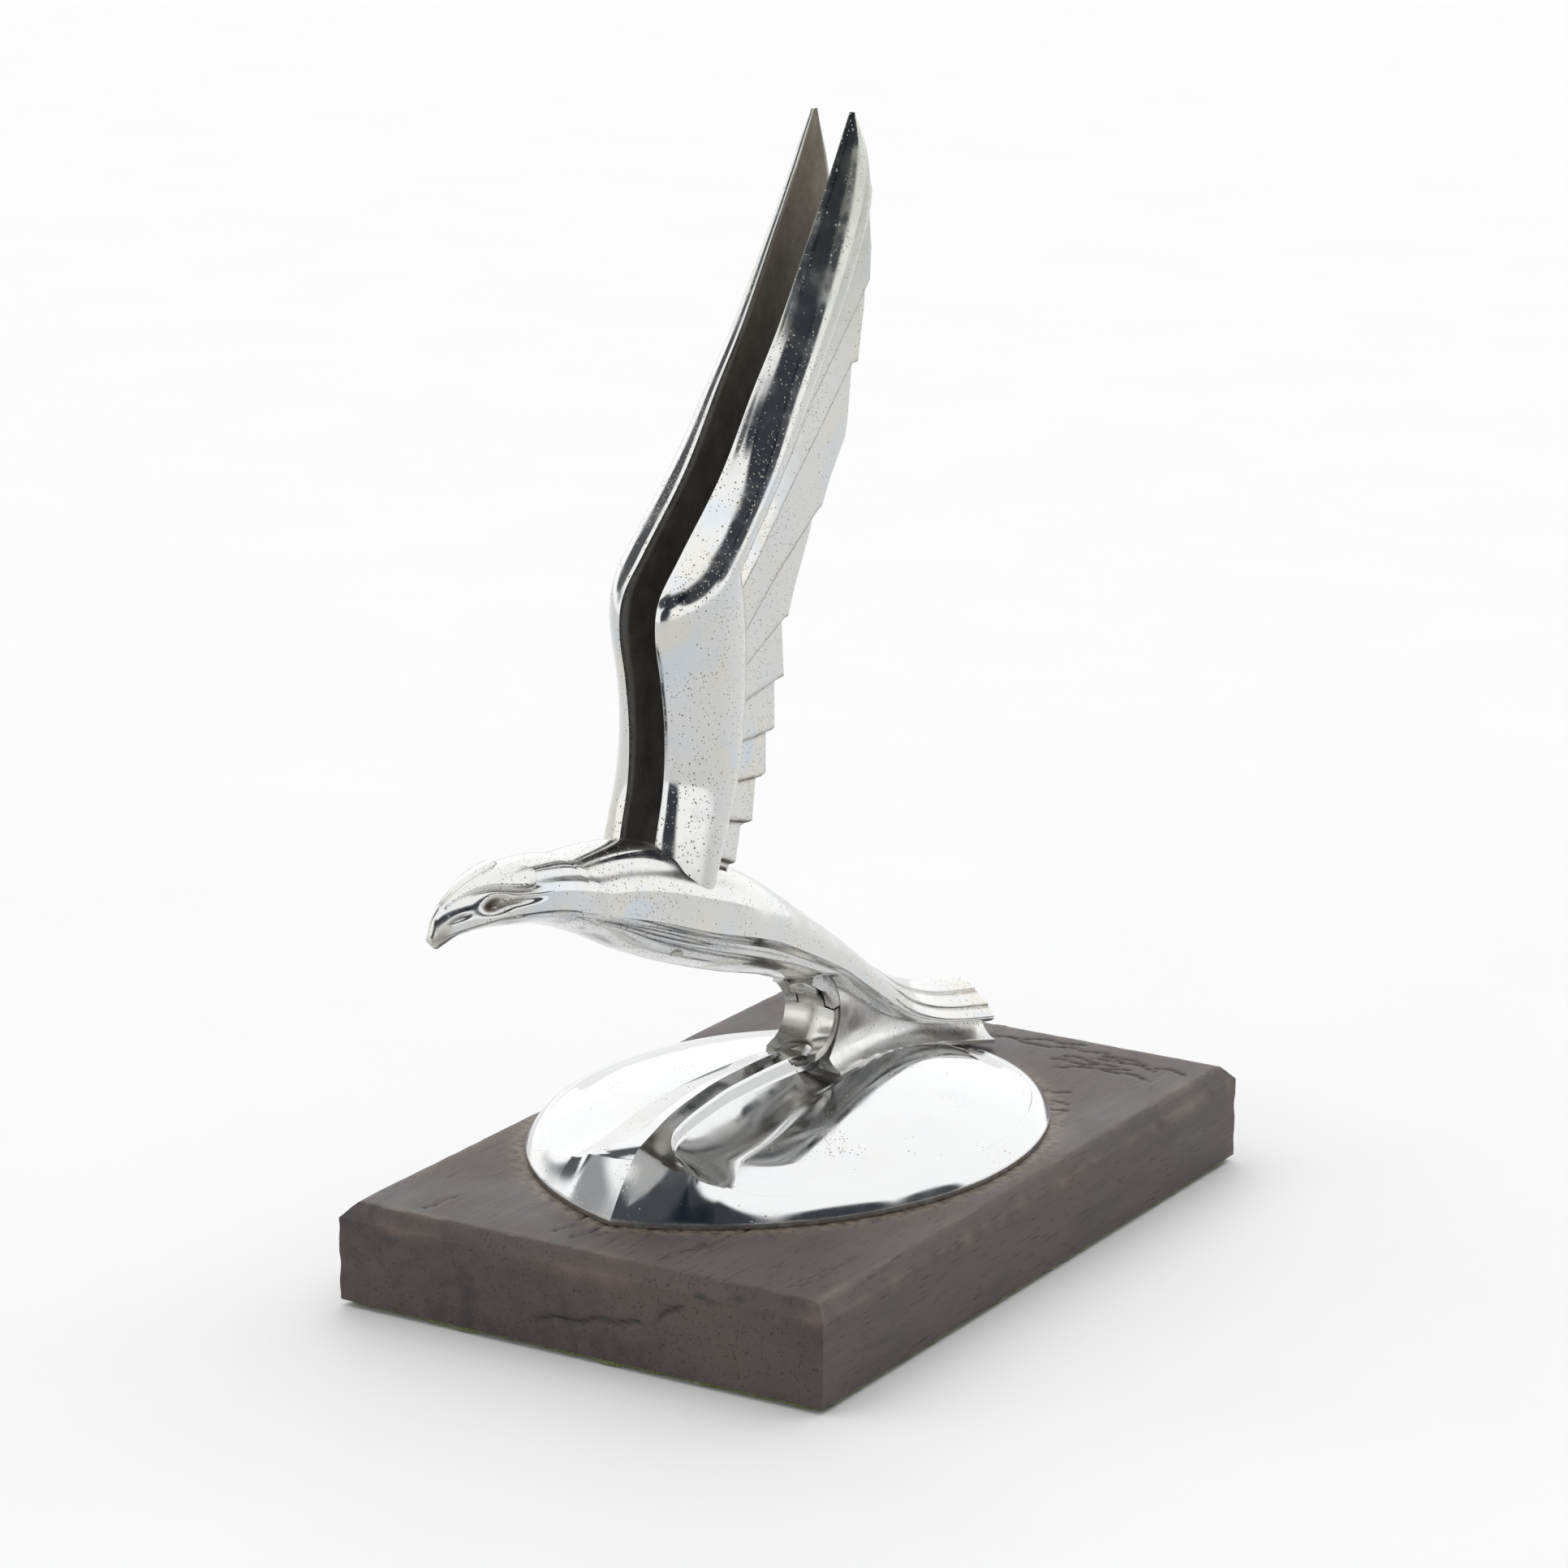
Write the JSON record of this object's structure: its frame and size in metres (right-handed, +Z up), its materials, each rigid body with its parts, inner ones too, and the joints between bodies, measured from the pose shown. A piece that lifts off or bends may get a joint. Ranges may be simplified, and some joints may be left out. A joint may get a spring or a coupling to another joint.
{
  "type": "hood ornament",
  "caption": "Chromed soaring eagle with raised paired wings on a pointed oval dome, with a finger release lever, fixed to a bevelled wood display board.",
  "frame": {"origin": "centre of the felt's bottom face", "axes": "+Z up, the bird faces -Y, +X is the bird's left side"},
  "size_m": [0.099, 0.193, 0.2044],
  "materials": {
    "felt": "olive wool felt, slightly frayed at the edge",
    "wood": "dark stained hardwood, satin, with age cracks",
    "dome_chrome": "chrome plate, light haze and pitting in the recesses",
    "bird_chrome": "worn chrome plate, pitted",
    "wing_chrome": "worn chrome plate, dull inner faces",
    "lever_chrome": "chrome plate with grime in the channel",
    "steel": "plain steel",
    "brass": "aged brass",
    "cork": "cork composition sheet"
  },
  "bodies": {
    "ornament": {"felt_pad": "felt", "wood_block": "wood", "block_screws": "steel", "block_washers": "steel", "cork_gasket": "cork", "dome": "dome_chrome", "pylon": "dome_chrome", "pylon_screws": "steel", "bird_body": "bird_chrome", "bird_head": "bird_chrome", "wing_left": "wing_chrome", "wing_right": "wing_chrome", "wing_dowels": "steel", "guide_plate": "brass", "guide_screws": "steel", "return_spring": "steel", "hinge_pin": "steel"},
    "lever": {"release_lever": "lever_chrome"},
    "rod": {"draw_rod": "steel", "rod_collar": "steel", "lock_plate": "brass", "lock_nut": "brass"}
  },
  "joints": [
    {"name": "lever_hinge", "type": "hinge", "parent": "ornament", "child": "lever", "pos_m": [-0.0028, 0.0059, 0.045], "axis": [-1, 0, 0], "range_deg": [0, 20.25]},
    {"name": "rod_slide", "type": "slide", "parent": "ornament", "child": "rod", "axis": [0, 0, -1], "range_m": [0, 0.0024], "stiffness_N_per_m": 100, "springref_m": -0.001, "deforming": ["return_spring"]}
  ],
  "couplings": [
    {"joint": "lever_hinge", "follows": "rod_slide", "rad_per_m": 147}
  ]
}
